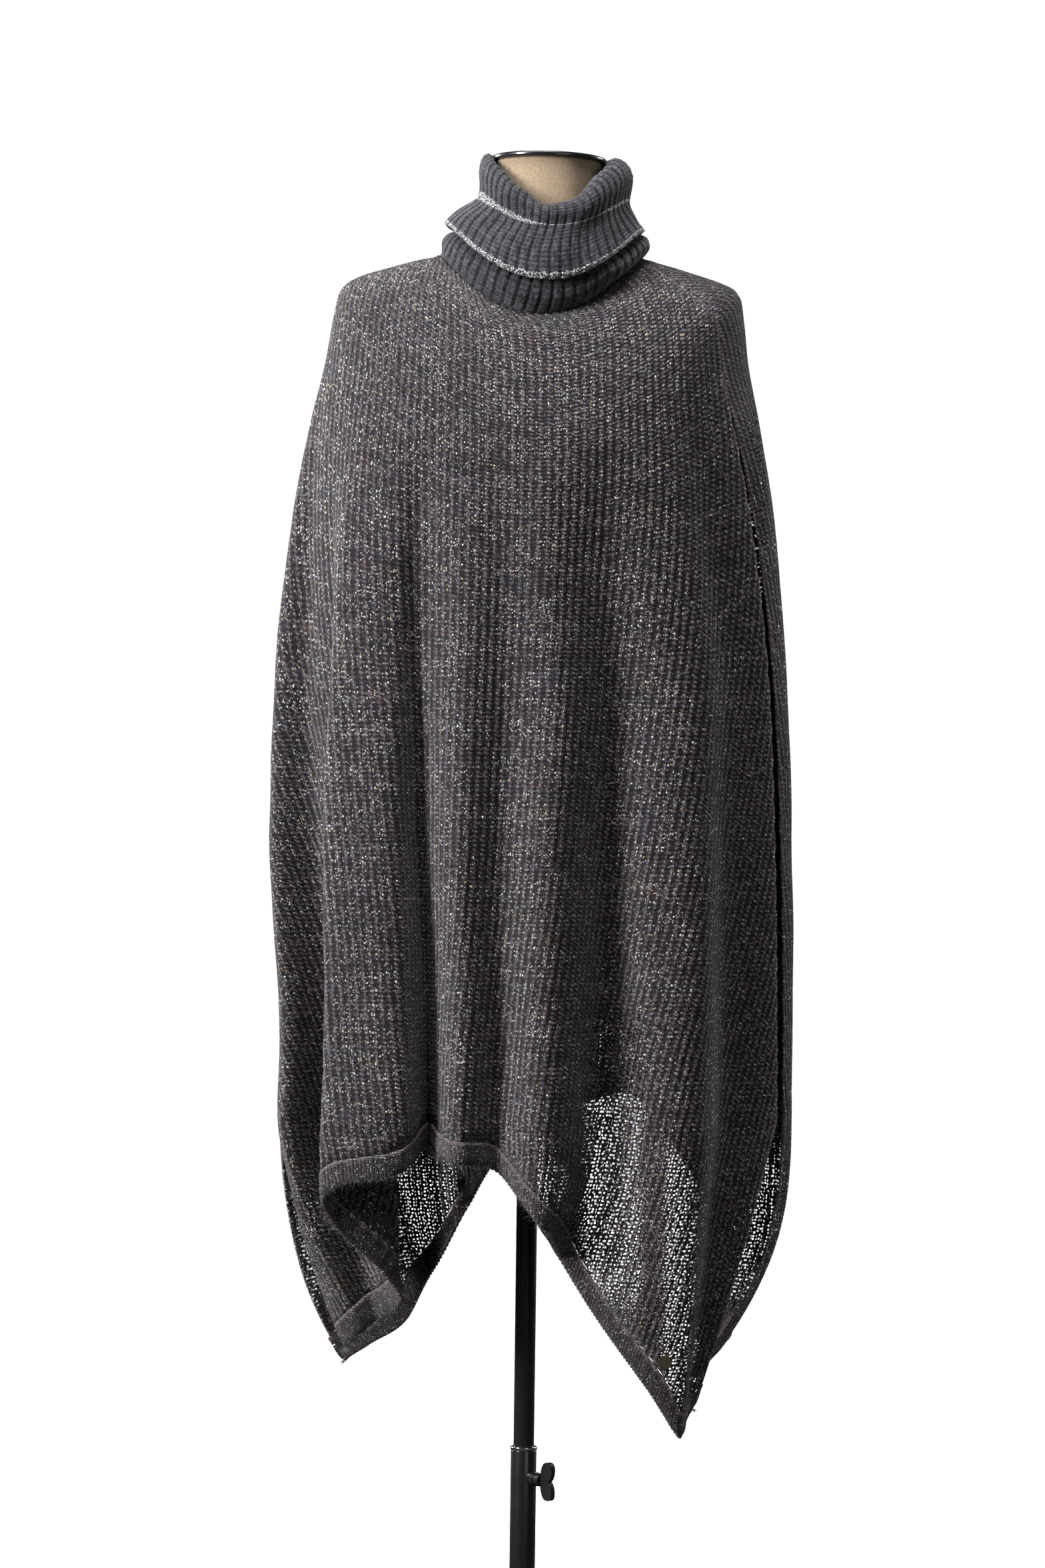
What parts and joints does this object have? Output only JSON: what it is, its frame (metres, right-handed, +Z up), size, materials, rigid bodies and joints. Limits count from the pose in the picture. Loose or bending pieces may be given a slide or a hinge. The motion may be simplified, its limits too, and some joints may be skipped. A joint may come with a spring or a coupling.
{
  "type": "knitted poncho sweater on a limbless dress form",
  "caption": "Rib-knit poncho with a turned-down ribbed collar and open sides, draped over a limbless dress form on a telescopic stand with a round base.",
  "frame": {"origin": "middle of the base plate's underside, on the floor", "axes": "+Z up along the stand, -Y out of the garment's front, +X to the right of a viewer who faces the front"},
  "size_m": [0.5179, 0.3755, 1.6007],
  "materials": {
    "knit": "matte",
    "collar_knit": "matte",
    "tag_disc": "satin",
    "linen": "matte",
    "black_metal": "gloss",
    "bright_ring": "polished",
    "black_plastic": "gloss"
  },
  "bodies": {
    "stand": {"base_plate": "black_metal", "base_hub": "black_metal", "lower_tube": "black_metal", "sleeve_ring": "bright_ring", "screw_boss": "black_metal"},
    "post": {"upper_tube": "black_metal"},
    "form": {"form_torso": "linen", "neck_cap": "black_metal", "front_panel": "knit", "back_panel": "knit", "front_hem_band": "knit", "back_hem_band": "knit", "collar": "collar_knit", "tag_disc": "tag_disc"},
    "screw": {"clamp_screw": "black_plastic", "clamp_wing": "black_plastic"}
  },
  "joints": [
    {"name": "height", "type": "slide", "parent": "stand", "child": "post", "axis": [0, 0, 1], "range_m": [-0.12, 0.1]},
    {"name": "form_turn", "type": "hinge", "parent": "post", "child": "form", "pos_m": [0, 0, 0.78], "axis": [0, 0, 1], "continuous": true},
    {"name": "screw_turn", "type": "hinge", "parent": "stand", "child": "screw", "pos_m": [0.015, -0.0179, 0.29], "axis": [0.6428, -0.766, 0], "range_deg": [0, 360]}
  ]
}
